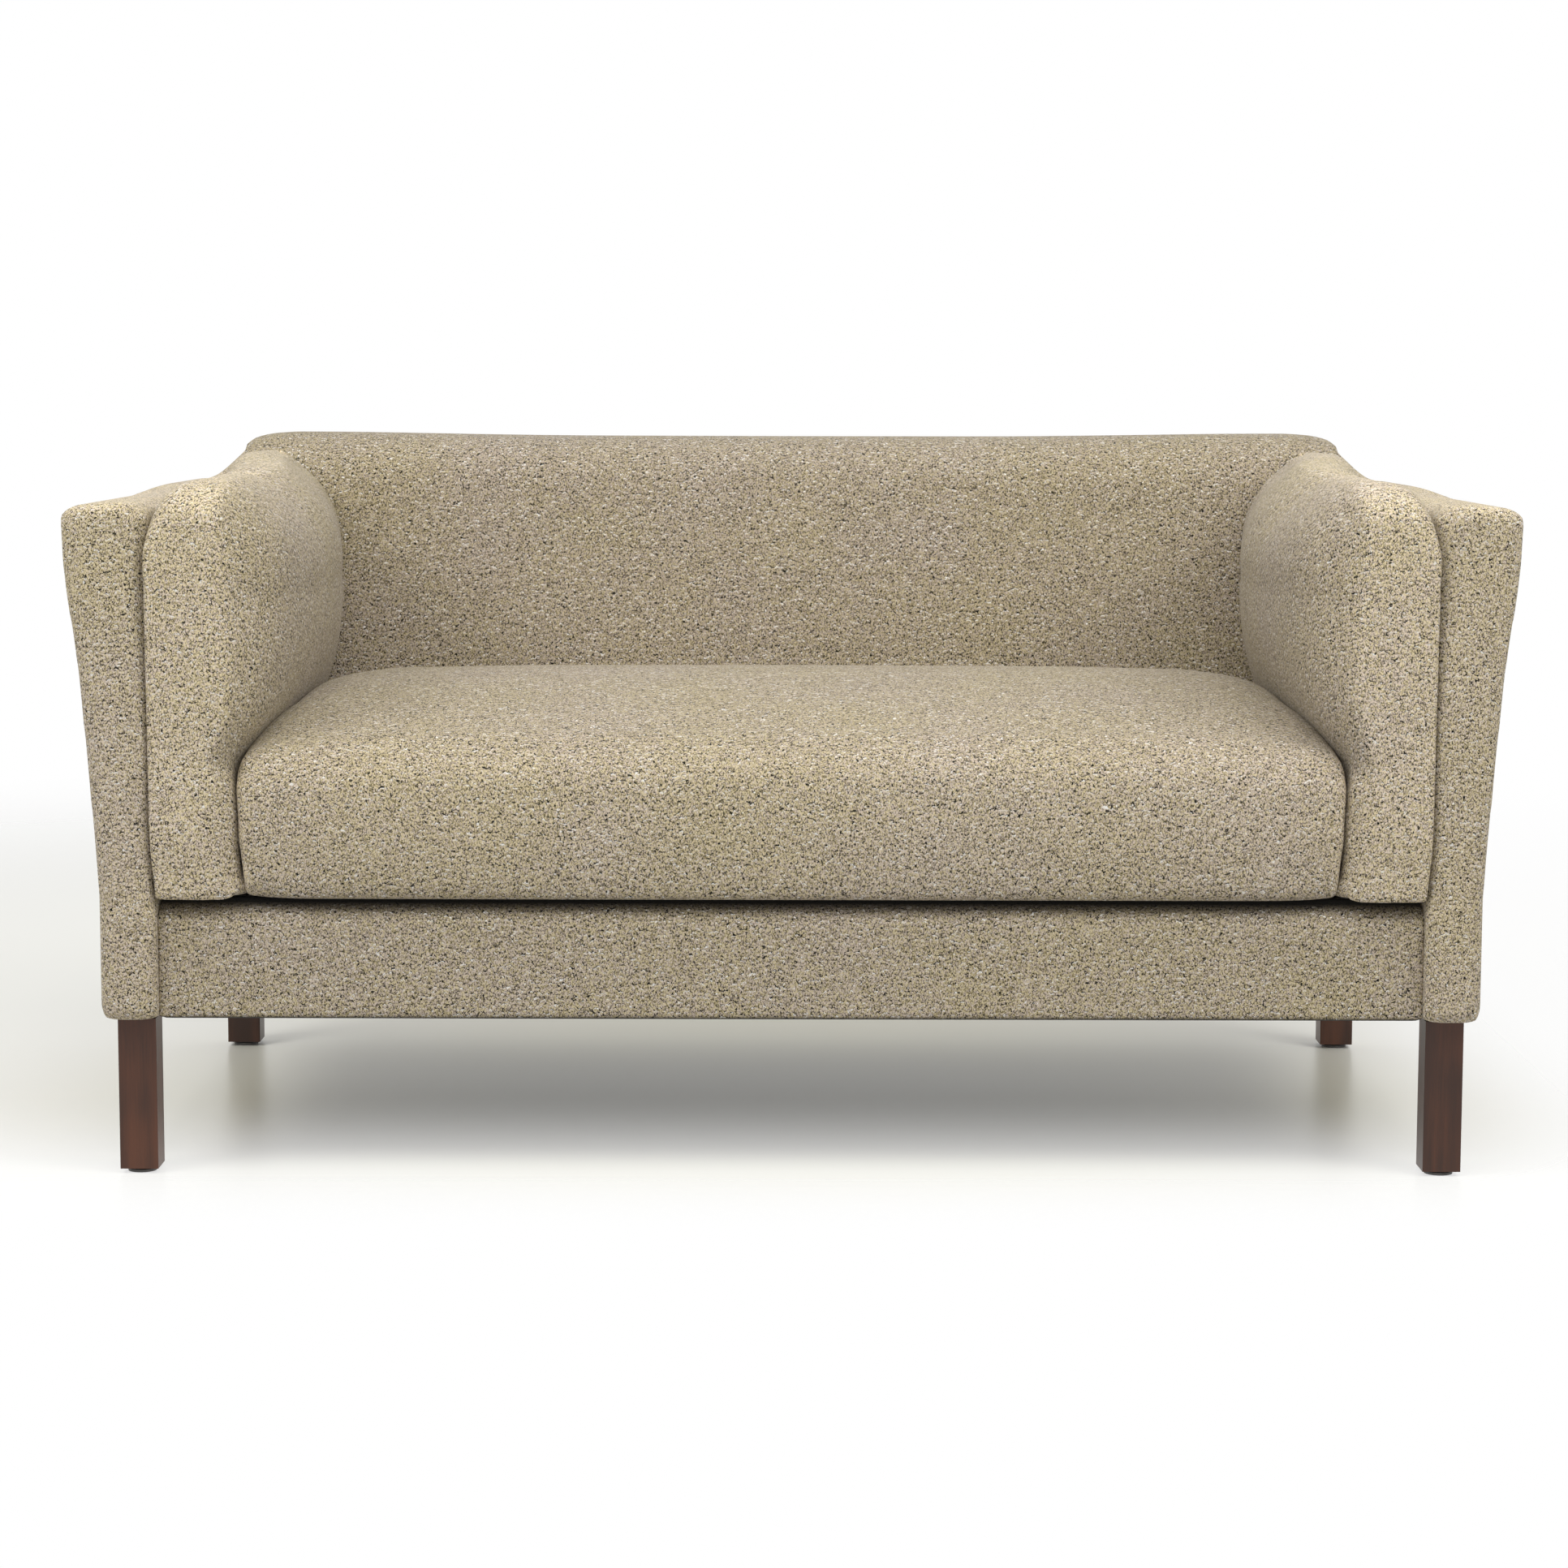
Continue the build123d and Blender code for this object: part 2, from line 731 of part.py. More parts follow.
let_in = [
    front_post_right,
    rear_post_right,
    front_rail,
    rear_rail,
    side_rail_right,
    arm_rail_right,
    tack_rail_right,
    arm_board_right,
    upright_right,
    *corner_blocks,
    *cross_strips,
]
save_pair("side_panel", cut(side_panel(), *let_in))


# Inner arm pads: long bolsters that bulge over the seat, round at the front, on the seat deck

def pad_ring(y, share, lift):
    """Outline of the right pad across the sofa, drawn in by a share at its nose."""
    outer = inner_half - pad_nose_outer * share
    low = pad_low_half + pad_nose_inner * share
    bulge = low - pad_bulge
    foot = seat_level + pad_nose_foot * share
    top = pad_top_height + lift - pad_nose_top * share
    outer_top = pad_outer_height - pad_nose_top * share
    crown = outer - pad_crown_reach
    foot_mid = quarter((low, foot + pad_foot_round), (low + pad_foot_round, foot))
    under_x = mix(low, bulge, pad_underside_shares[0])
    under_z = mix(pad_waist_height, pad_bulge_height, pad_underside_shares[1])
    shoulder_x = mix(bulge, crown, pad_shoulder_shares[0])
    shoulder_z = mix(pad_bulge_height, top, pad_shoulder_shares[1])
    crown_x = mix(crown, outer, pad_crown_shares[0])
    crown_z = mix(top, outer_top, pad_crown_shares[1])
    return outline(
        (outer, y, foot),
        [(low + pad_foot_round, y, foot)],
        [(foot_mid[0], y, foot_mid[1]), (low, y, foot + pad_foot_round)],
        [(low, y, pad_waist_height)],
        [(under_x, y, under_z), (bulge, y, pad_bulge_height)],
        [(shoulder_x, y, shoulder_z), (crown, y, top)],
        [(crown_x, y, crown_z), (outer, y, outer_top)],
    )


pad_front = front + pad_front_recess
pad_end = back_face + back_rake + cut_overrun
pad_rings = []
for depth, share in nose():
    y = pad_front + pad_nose_depth * depth
    pad_rings.append(pad_ring(y, share, -pad_front_drop))
for length_share, rise_share in pad_length_shares:
    y = mix(pad_front + pad_nose_depth, pad_end, length_share)
    pad_rings.append(pad_ring(y, 0, mix(-pad_front_drop, pad_rear_rise, rise_share)))

# The pad stops at the leaning face of the back
lean_foot = seat_level - cut_overrun
lean_line = [
    (pad_low_half, back_face - pad_back_gap, lean_foot),
    (pad_low_half, back_face - pad_back_gap, seat_level),
    (pad_low_half, back_face + back_rake - pad_back_gap, overall_height),
    (pad_low_half, rear, overall_height),
    (pad_low_half, rear, lean_foot),
]
behind_lean = Face(Wire.make_polygon([Vector(*point) for point in lean_line]))
lean_room = extrude(behind_lean, pad_low_half, dir=(1, 0, 0), both=True)
save_pair("arm_pad", loft(pad_rings) - lean_room)


# Seat cushion: a loose bench cushion with a crown, round front and drawn-in sides

cushion_front = front + cushion_front_bow
cushion_rear = back_face - cushion_rear_gap
cushion_side_top = seat_level + cushion_side_rise + cushion_side_height
cushion_front_top = cushion_top - cushion_front_drop
cushion_rear_top = cushion_top - cushion_rear_drop
cushion_crown = cushion_top - (cushion_front_top + cushion_rear_top) / 2
cushion_rings = []
for width, rise, fall, draw in both_ways(cushion_station_shares, (0, 0, 0, 0)):
    x = cushion_half * width
    foot = seat_level + cushion_side_rise * rise
    front_top = mix(cushion_front_top, cushion_side_top, fall)
    rear_top = mix(cushion_rear_top, cushion_side_top, fall)
    y0 = cushion_front + cushion_plan_round * draw
    y1 = cushion_rear - cushion_rear_plan_round * draw
    corners = [(x, y0, foot), (x, y0, front_top), (x, y1, rear_top), (x, y1, foot)]
    eases = [
        mix(cushion_bottom_round, cushion_end_round, fall),
        mix(cushion_front_round, cushion_end_round, fall),
        mix(cushion_rear_round, cushion_end_round, fall),
        mix(cushion_bottom_round, cushion_end_round, fall),
    ]
    bows = [cushion_front_bow, mix(cushion_crown, cushion_end_crown, fall), 0, 0]
    cushion_rings.append(soft_ring(corners, eases, bows))
save("seat_cushion", loft(cushion_rings))


# Inner back pad: leaning, full in the middle, and lapped over the top rail of the back

back_rings = []
for width, fall, fullness in both_ways(back_station_shares, (0, 0, 1)):
    x = inner_half * width
    top = overall_height - back_top_corner_drop * fall - back_top_sag * fullness
    lean_y = back_face + back_rake
    corners = [
        (x, back_face, seat_level),
        (x, lean_y, top),
        (x, board_rear, top),
        (x, board_rear, seat_level),
    ]
    eases = [back_foot_round, back_top_round, back_seam_ease, back_seam_ease]
    bows = [mix(back_side_crown, back_crown, fullness), back_top_bow, 0, 0]
    back_rings.append(soft_ring(corners, eases, bows))
timber_x = (-outer_half, outer_half)
timber_room = block(timber_x, (pad_rear, rear), (seat_level - cut_overrun, back_timber_top))
save("back_pad", loft(back_rings) - timber_room)


# Outside back: padding and fabric over the board, flush with the shoulders

def back_outline(y, drop):
    """Outline of the rear, with its top corners eased to the shoulders and its top lowered."""
    top = overall_height - drop
    side_top = top - back_top_corner_drop
    inner_x = inner_half - back_corner_reach
    corner_x = (inner_half + inner_x) / 2
    corner_z = (side_top + top) / 2 + back_top_bow
    return outline(
        (-inner_half, y, base_bottom),
        [(inner_half, y, base_bottom)],
        [(inner_half, y, side_top)],
        [(corner_x, y, corner_z), (inner_x, y, top)],
        [(0, y, top - back_top_sag), (-inner_x, y, top)],
        [(-corner_x, y, corner_z), (-inner_half, y, side_top)],
    )


round_start = rear - outside_back_top_round
outside_back = extrude(Face(back_outline(board_rear, 0)), round_start - board_rear, dir=(0, 1, 0))
round_rings = []
for depth, share in reversed(nose()):
    y = rear - outside_back_top_round * depth
    round_rings.append(back_outline(y, outside_back_top_round * share))
save("outside_back", outside_back + loft(round_rings))
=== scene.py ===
from math import radians

import bpy
import numpy as np
from mathutils import Euler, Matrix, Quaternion, Vector


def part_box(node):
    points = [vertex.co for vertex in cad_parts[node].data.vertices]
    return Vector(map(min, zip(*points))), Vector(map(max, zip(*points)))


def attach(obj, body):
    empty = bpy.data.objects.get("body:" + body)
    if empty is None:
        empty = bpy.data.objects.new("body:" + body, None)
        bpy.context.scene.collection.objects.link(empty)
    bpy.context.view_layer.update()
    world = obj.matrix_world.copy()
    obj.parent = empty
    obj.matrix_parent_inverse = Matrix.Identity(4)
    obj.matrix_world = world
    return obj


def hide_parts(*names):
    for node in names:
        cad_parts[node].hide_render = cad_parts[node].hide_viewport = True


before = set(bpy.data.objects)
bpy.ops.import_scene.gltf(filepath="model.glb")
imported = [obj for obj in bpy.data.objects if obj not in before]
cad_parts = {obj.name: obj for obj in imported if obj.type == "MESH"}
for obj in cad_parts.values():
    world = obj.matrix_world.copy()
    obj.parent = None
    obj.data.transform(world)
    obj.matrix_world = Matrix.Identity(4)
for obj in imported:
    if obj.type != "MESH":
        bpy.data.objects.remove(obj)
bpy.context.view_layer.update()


# Timber frame: posts, rails, blocks and uprights of sawn softwood, glued and screwed together.
# It carries everything else, and none of it shows once the covers are on.

class Signal:
    """One output of a material's node. Arithmetic on it adds Math nodes to the same material."""

    def __init__(self, tree, output):
        self.tree = tree
        self.output = output

    def node(self, kind, values, settings=None, take=0):
        """Any other node: its settings first, then a value or a link for each named socket."""
        made = self.tree.nodes.new(kind)
        for key, value in (settings or {}).items():
            setattr(made, key, value)
        for key, value in values.items():
            if isinstance(value, Signal):
                self.tree.links.new(value.output, made.inputs[key])
            else:
                made.inputs[key].default_value = value
        return Signal(self.tree, made.outputs[take])

    def math(self, operation, *values):
        return self.node("ShaderNodeMath", dict(enumerate(values)), {"operation": operation})

    def __add__(self, other):
        return self.math("ADD", self, other)

    def __radd__(self, other):
        return self.math("ADD", other, self)

    def __sub__(self, other):
        return self.math("SUBTRACT", self, other)

    def __rsub__(self, other):
        return self.math("SUBTRACT", other, self)

    def __mul__(self, other):
        return self.math("MULTIPLY", self, other)

    def __rmul__(self, other):
        return self.math("MULTIPLY", other, self)

    def vector(self, operation, *values, take=0):
        """Vector arithmetic on this place or colour and others."""
        values = dict(enumerate((self, *values)))
        return self.node("ShaderNodeVectorMath", values, {"operation": operation}, take)

    def stretched(self, x, y, z):
        """Place on the piece with each axis scaled, in features per metre."""
        return self.vector("MULTIPLY", (x, y, z))

    def other(self, take):
        """Another output of the same node."""
        return Signal(self.tree, self.output.node.outputs[take])

    def noise(self, scale, detail=2.0, roughness=0.5, take=0):
        values = {"Vector": self, "Scale": scale, "Detail": detail, "Roughness": roughness}
        return self.node("ShaderNodeTexNoise", values, take=take)

    def cells(self, feature, scale=1.0, take=0):
        values = {"Vector": self, "Scale": scale}
        return self.node("ShaderNodeTexVoronoi", values, {"feature": feature}, take=take)

    def between(self, low, high):
        """0 below the low value, 1 above the high one, and smooth from one to the other."""
        values = {"Value": self, "From Min": low, "From Max": high}
        return self.node("ShaderNodeMapRange", values, {"interpolation_type": "SMOOTHSTEP"})

    def tint(self, start, end):
        """Colour from start, where this is 0, to end, where it is 1."""
        return self.node("ShaderNodeMix", {0: self, 6: start, 7: end}, {"data_type": "RGBA"}, take=2)


def paint(red, green, blue):
    """Opaque colour."""
    return (red, green, blue, 1.0)


class Finish:
    """A material for one kind of surface, with its shader and the place of each point."""

    def __init__(self, name):
        self.material = bpy.data.materials.new(name)
        self.material.use_nodes = True
        self.tree = self.material.node_tree
        self.shader = self.tree.nodes["Principled BSDF"]
        coordinates = self.tree.nodes.new("ShaderNodeTexCoord")
        self.place = Signal(self.tree, coordinates.outputs["Object"])

    def set(self, **values):
        """Gives the shader's sockets their values or links; an underscore stands for a space."""
        for key, value in values.items():
            socket = self.shader.inputs[key.replace("_", " ")]
            if isinstance(value, Signal):
                self.tree.links.new(value.output, socket)
            else:
                socket.default_value = value

    def bump(self, height, distance, strength=1.0):
        """Relief of a height from 0 to 1 over a distance in metres."""
        values = {"Height": height, "Distance": distance, "Strength": strength}
        self.set(Normal=height.node("ShaderNodeBump", values))

    def cover(self, piece):
        """Puts this finish alone on a piece."""
        piece.data.materials.clear()
        piece.data.materials.append(self.material)


def sawn_wood(along):
    """Pale softwood whose grain runs along an axis, with saw marks across it."""
    finish = Finish("sawn_wood_" + "xyz"[along])
    across = [55.0, 55.0, 55.0]
    across[along] = 2.5
    grain = finish.place.stretched(*across).noise(1.0, 5.0, 0.6)
    fibre = finish.place.stretched(*[8 * value for value in across]).noise(1.0, 2.0)
    knots = finish.place.noise(9.0, 1.0)
    teeth = [700.0 if axis == along else 4.0 for axis in range(3)]
    saw_marks = finish.place.stretched(*teeth).noise(1.0, 1.0)
    bands = (grain * 0.8 + fibre * 0.3).between(0.38, 0.78)
    wood = bands.tint(paint(0.68, 0.50, 0.30), paint(0.47, 0.30, 0.15))
    wood = (knots.between(0.66, 0.78) * 0.5).tint(wood, paint(0.25, 0.13, 0.06))
    finish.set(Base_Color=wood, Roughness=0.72 + 0.16 * fibre)
    finish.bump(saw_marks * 0.5 + fibre * 0.5, 0.0004)
    return finish


def dress(finish, *names):
    """Gives the named construction pieces a finish."""
    for name in names:
        finish.cover(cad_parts[name])


sides = ("left", "right")
ends = ("front", "rear")
timber_names = ["front_rail", "rear_rail", "center_rail"]
timber_names += ["back_top_rail", "back_center_upright", "back_lower_rails"]
for side in sides:
    timber_names += ["side_rail_" + side, "back_upright_" + side]
    timber_names += ["arm_top_rail_" + side, "arm_tack_rail_" + side]
    timber_names += [f"{end}_post_{side}" for end in ends]
    timber_names += [f"corner_block_{end}_{side}" for end in ends]
sawn_woods = [sawn_wood(axis) for axis in range(3)]
for name in timber_names:
    low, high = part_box(name)
    lengths = list(high - low)
    dress(sawn_woods[lengths.index(max(lengths))], name)


# Arm and back boards: 4 mm hardboard, bent over the outer edges of the arm posts and nailed,
# and closing the back behind its uprights.

def hardboard():
    """Brown pressed fibre, smooth with a faint mottle."""
    finish = Finish("hardboard")
    flecks = finish.place.noise(420.0, 4.0, 0.7)
    clouds = finish.place.noise(14.0, 2.0)
    mottle = (flecks * 0.6 + clouds * 0.4).between(0.35, 0.65)
    brown = mottle.tint(paint(0.20, 0.12, 0.065), paint(0.33, 0.21, 0.12))
    finish.set(Base_Color=brown, Roughness=0.6 + 0.15 * flecks)
    finish.bump(flecks, 0.0002)
    return finish


dress(hardboard(), "back_board", "outside_arm_board_left", "outside_arm_board_right")


# Webbing, seat deck and dust cover: elastic strips stapled across the rails, a felt deck that
# the cushion lies on, and a black nonwoven cloth that closes the underside.

def webbing_cloth():
    """Dark elastic webbing with a rib every two millimetres and a paler stripe of yarn."""
    finish = Finish("webbing")
    ribs = finish.place.stretched(520.0, 520.0, 520.0).noise(1.0, 1.0)
    rows = finish.place.cells("F1", 480.0)
    weave = (ribs * 0.6 + rows * 0.4).between(0.2, 0.8)
    yarn = weave.tint(paint(0.03, 0.027, 0.024), paint(0.14, 0.12, 0.10))
    finish.set(Base_Color=yarn, Roughness=0.8 + 0.15 * ribs)
    finish.bump(rows, 0.0004)
    return finish


def deck_cloth():
    """Grey-brown needled felt."""
    finish = Finish("deck_felt")
    lint = finish.place.noise(700.0, 3.0, 0.7)
    felt = lint.between(0.3, 0.7).tint(paint(0.20, 0.18, 0.16), paint(0.38, 0.35, 0.31))
    finish.set(Base_Color=felt, Roughness=0.9 + 0.08 * lint)
    finish.bump(lint, 0.0006)
    return finish


def dust_cloth():
    """Black nonwoven cloth with its grid of weld dots."""
    finish = Finish("dust_cloth")
    fibres = finish.place.noise(900.0, 3.0, 0.6)
    dots = finish.place.stretched(260.0, 260.0, 1.0).cells("F1")
    weld = (fibres * 0.7 + dots * 0.3).between(0.3, 0.8)
    black = weld.tint(paint(0.012, 0.012, 0.013), paint(0.045, 0.044, 0.043))
    finish.set(Base_Color=black, Roughness=0.75 + 0.2 * fibres)
    finish.bump(dots * 0.6 + fibres * 0.4, 0.0003)
    return finish


dress(webbing_cloth(), "seat_webbing_lengthwise", "seat_webbing_crosswise", "back_webbing")
dress(deck_cloth(), "seat_deck")
dress(dust_cloth(), "dust_cover")


# Screws, bolts and inserts: zinc-plated steel, hidden in the frame and the legs.
# Glides: the same steel for the stem and its collar, over a round foot of grey-brown plastic.

def plated_steel():
    """Zinc plate, dull and faintly clouded."""
    finish = Finish("plated_steel")
    clouds = finish.place.noise(160.0, 3.0, 0.6)
    turning = finish.place.stretched(60.0, 60.0, 3000.0).noise(1.0, 1.0)
    finish.set(Base_Color=clouds.between(0.3, 0.7).tint(paint(0.42, 0.42, 0.41), paint(0.62, 0.61, 0.58)))
    finish.set(Metallic=1.0, Roughness=0.34 + 0.18 * clouds)
    finish.bump(turning, 0.0001)
    return finish


def glide_plastic():
    """Moulded grey-brown plastic with a fine spark texture."""
    finish = Finish("glide_plastic")
    grain = finish.place.noise(1400.0, 2.0)
    scuffs = finish.place.noise(90.0, 3.0, 0.7)
    grey_brown = scuffs.between(0.35, 0.7).tint(paint(0.10, 0.095, 0.09), paint(0.17, 0.16, 0.15))
    finish.set(Base_Color=grey_brown, Roughness=0.45 + 0.2 * grain)
    finish.bump(grain, 0.0002)
    return finish


places = [f"{end}_{side}" for end in ends for side in sides]
dress(plated_steel(), "leg_bolts", "leg_bolt_inserts", "glide_inserts",
      "corner_block_screws", "back_upright_screws")
dress(plated_steel(), *["glide_stem_" + place for place in places])
dress(glide_plastic(), *["glide_pad_" + place for place in places])


# Legs: square hardwood, stained dark espresso and sprayed with satin lacquer, bolted up into
# the posts.

def espresso_wood():
    """Dark stain that leaves the grain reddish, under a thin satin lacquer."""
    finish = Finish("espresso_wood")
    pores = finish.place.stretched(900.0, 900.0, 26.0).noise(1.0, 3.0, 0.6)
    figure = finish.place.stretched(70.0, 70.0, 5.0).noise(1.0, 4.0, 0.55)
    glow = finish.place.noise(11.0, 1.0)
    shade = (figure * 0.5 + glow * 0.5 + pores * 0.12).between(0.38, 0.74)
    wood = shade.tint(paint(0.037, 0.0155, 0.009), paint(0.108, 0.038, 0.018))
    finish.set(Base_Color=wood, Roughness=0.30 + 0.16 * pores)
    finish.shader.inputs["Specular IOR Level"].default_value = 0.35
    finish.shader.inputs["Coat Weight"].default_value = 0.12
    finish.shader.inputs["Coat Roughness"].default_value = 0.22
    finish.bump(pores, 0.00012)
    return finish


dress(espresso_wood(), *["leg_" + place for place in places])


# Side panels: thin outer arms, padded and covered in one piece of tufted chenille, upright
# below and flared above, with a shoulder at the rear where the back steps down.

def chenille(name, *painted_facing_shades):
    """Tufted chenille: small curled tufts, with painted shade below their edges and painted highlights on
    top of them.

    Each copy has painted light and shade by the way a face looks: the faces that look sideways,
    forwards and up each have their own shade. A low shade is painted shadow, and it hides the
    painted highlights as well.
    a low shade, which hides its pale flecks as well.
    """
    finish = Finish(name)
    drift = finish.place.noise(300.0, 2.0, 0.6, take=1).vector("SUBTRACT", (0.5, 0.5, 0.5))
    bent = finish.place.vector("ADD", drift.vector("MULTIPLY", (0.0034, 0.0034, 0.0034)))
    tufts = bent.vector("MULTIPLY", (300.0, 300.0, 270.0))
    rim = tufts.cells("DISTANCE_TO_EDGE")
    dome = tufts.cells("F1")
    # upward is how far a point lies above its tuft's middle. It sets painted light on the top of each tuft
    # and painted shade below it.
    upward = tufts.vector("SUBTRACT", dome.other(2)).vector("DOT_PRODUCT", (0.0, 0.45, 0.9), take=1)
    random_shade = dome.other(1).node("ShaderNodeSeparateColor", {0: dome.other(1)})
    breaks = finish.place.noise(380.0, 1.0)
    streaks = bent.vector("MULTIPLY", (1050.0, 1050.0, 420.0)).noise(1.0, 1.0).between(0.34, 0.58)
    clouds = finish.place.noise(6.0, 2.0)
    patches = finish.place.noise(40.0, 2.0)
    edge = 1.0 - rim.between(0.075, 0.16)
    gaps = (breaks * 0.9 + patches * 0.1).between(0.47, 0.51)
    # Painted shade: near black along the lower edge of each tuft, where shade falls between the tufts.
    painted_tuft_shade = edge * (0.10 - upward).between(0.0, 0.10) * gaps
    # Painted highlights: pale glints along the upper edge of the tufts.
    painted_glint = (1.0 - rim.between(0.06, 0.20)) * upward.between(0.24, 0.36) * random_shade.between(0.72, 0.78)
    # The mottle is lighter on the top of each tuft: painted light.
    mottle = random_shade * 0.08 + streaks * 0.50 + patches * 0.06 + upward * 0.08
    tone = mottle.between(0.0, 0.62)
    yellow = tone.tint(paint(0.190, 0.150, 0.064), paint(0.597, 0.506, 0.318))
    pink = tone.tint(paint(0.185, 0.147, 0.100), paint(0.592, 0.498, 0.404))
    hue = (finish.place.noise(420.0, 1.0) * 0.75 + clouds * 0.25).between(0.42, 0.58)
    pile = hue.tint(yellow, pink)
    pile = painted_tuft_shade.tint(pile, paint(0.004, 0.004, 0.003))
    # Painted light and shade by facing: the pile's colour is scaled by the shares of sideways, forwards
    # and up in the normal, with one shade for each. A low shade is painted shadow and dims the painted
    # highlights.
    normal = finish.place.node("ShaderNodeNewGeometry", {}, take=1)
    shade = normal.vector("MULTIPLY", normal).vector("DOT_PRODUCT", painted_facing_shades, take=1)
    shade = shade.math("MAXIMUM", shade, 0.03)
    painted_glint = painted_glint * shade.between(0.0, 0.8)
    pile = (painted_glint * 0.9).tint(pile.vector("MULTIPLY", shade), paint(0.86, 0.85, 0.82))
    finish.set(Base_Color=pile, Roughness=0.86 + 0.1 * streaks)
    finish.shader.inputs["Sheen Weight"].default_value = 0.10
    finish.shader.inputs["Sheen Roughness"].default_value = 0.5
    finish.shader.inputs["Specular IOR Level"].default_value = 0.25
    finish.bump((1.0 - dome) * 0.25 + streaks * 0.25 - painted_tuft_shade * 0.3 + painted_glint * 0.1, 0.0010, 0.5)
    return finish


def pick(piece):
    """Leaves one piece selected and active."""
    bpy.ops.object.select_all(action="DESELECT")
    piece.select_set(True)
    bpy.context.view_layer.objects.active = piece


def add_block(name, low, high):
    """A block between two corners, with its place in its mesh."""
    bpy.ops.object.select_all(action="DESELECT")
    bpy.ops.mesh.primitive_cube_add(size=1, location=(low + high) / 2, scale=high - low)
    block = bpy.context.object
    block.name = name
    bpy.ops.object.transform_apply(location=True, rotation=False, scale=True)
    return block


def finish_with(piece, kind, **settings):
    """Adds a modifier with its settings and applies it."""
    pick(piece)
    modifier = piece.modifiers.new(kind.lower(), kind)
    for key, value in settings.items():
        setattr(modifier, key, value)
    bpy.ops.object.modifier_apply(modifier=modifier.name)


def points_of(piece):
    """All the points of a piece's mesh, one row each."""
    flat = np.empty(len(piece.data.vertices) * 3)
    piece.data.vertices.foreach_get("co", flat)
    return flat.reshape(-1, 3)


def move_points(piece, points):
    """Puts the points of a piece's mesh at new places."""
    piece.data.vertices.foreach_set("co", points.ravel())
    piece.data.update()


def ease(values, low, high):
    """0 below the low value, 1 above the high one, and smooth from one to the other."""
    share = np.clip((values - low) / (high - low), 0, 1)
    return share * share * (3 - 2 * share)


def round_off(points, first, second, radius):
    """Rounds the edge between two square faces, each an axis, its level and the way it looks."""
    faces = (first, second)
    past = [radius - way * (level - points[:, axis]) for axis, level, way in faces]
    near = (past[0] > 0) & (past[1] > 0)
    longer = np.maximum(past[0], past[1])
    scale = longer / np.maximum(np.hypot(past[0], past[1]), 1e-9)
    for (axis, level, way), reach in zip(faces, past):
        points[:, axis] = np.where(near, level - way * (radius - reach * scale), points[:, axis])


def upholster(piece, fabric, body, fill, *nodes):
    """Gives a padded piece its cover and its place in the assembly."""
    fabric.cover(piece)
    pick(piece)
    bpy.ops.object.shade_smooth()
    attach(piece, body)
    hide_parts(*nodes)


def mirror_piece(piece, name):
    """A copy on the other side of the sofa, with its own mesh and its faces outwards."""
    twin = piece.copy()
    twin.data = piece.data.copy()
    twin.name = name
    bpy.context.scene.collection.objects.link(twin)
    pick(twin)
    bpy.ops.object.mode_set(mode="EDIT")
    bpy.ops.mesh.select_all(action="SELECT")
    bpy.ops.transform.resize(value=(-1, 1, 1), center_override=(0, 0, 0))
    bpy.ops.mesh.normals_make_consistent(inside=False)
    bpy.ops.object.mode_set(mode="OBJECT")
    return twin


# Painted light: the panels' tops and fronts are lighter than their outer sides.
panel_fabric = chenille("panel_chenille", 1.05, 1.18, 1.38)
panel_low, panel_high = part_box("side_panel_right")
inner_half = panel_low.x
outer_half = panel_high.x
front = panel_low.y
rear = panel_high.y
base_bottom = panel_low.z
base_half = inner_half + 0.060
arm_height = 0.707
flare_start = 0.300
flare_top = 0.676
shoulder_height = 0.757
shoulder_front = 0.312
shoulder_full = 0.350
panel_edge = 0.012
panel_foot_edge = 0.008
panel_skin = 0.006


def shoulder_rise(x, y):
    """How far the panel's top is drawn up to the back at a place."""
    inward = 1 - ease(x, inner_half - 0.012, inner_half + 0.064)
    return (shoulder_height - arm_height) * ease(y, shoulder_front, shoulder_full) * inward


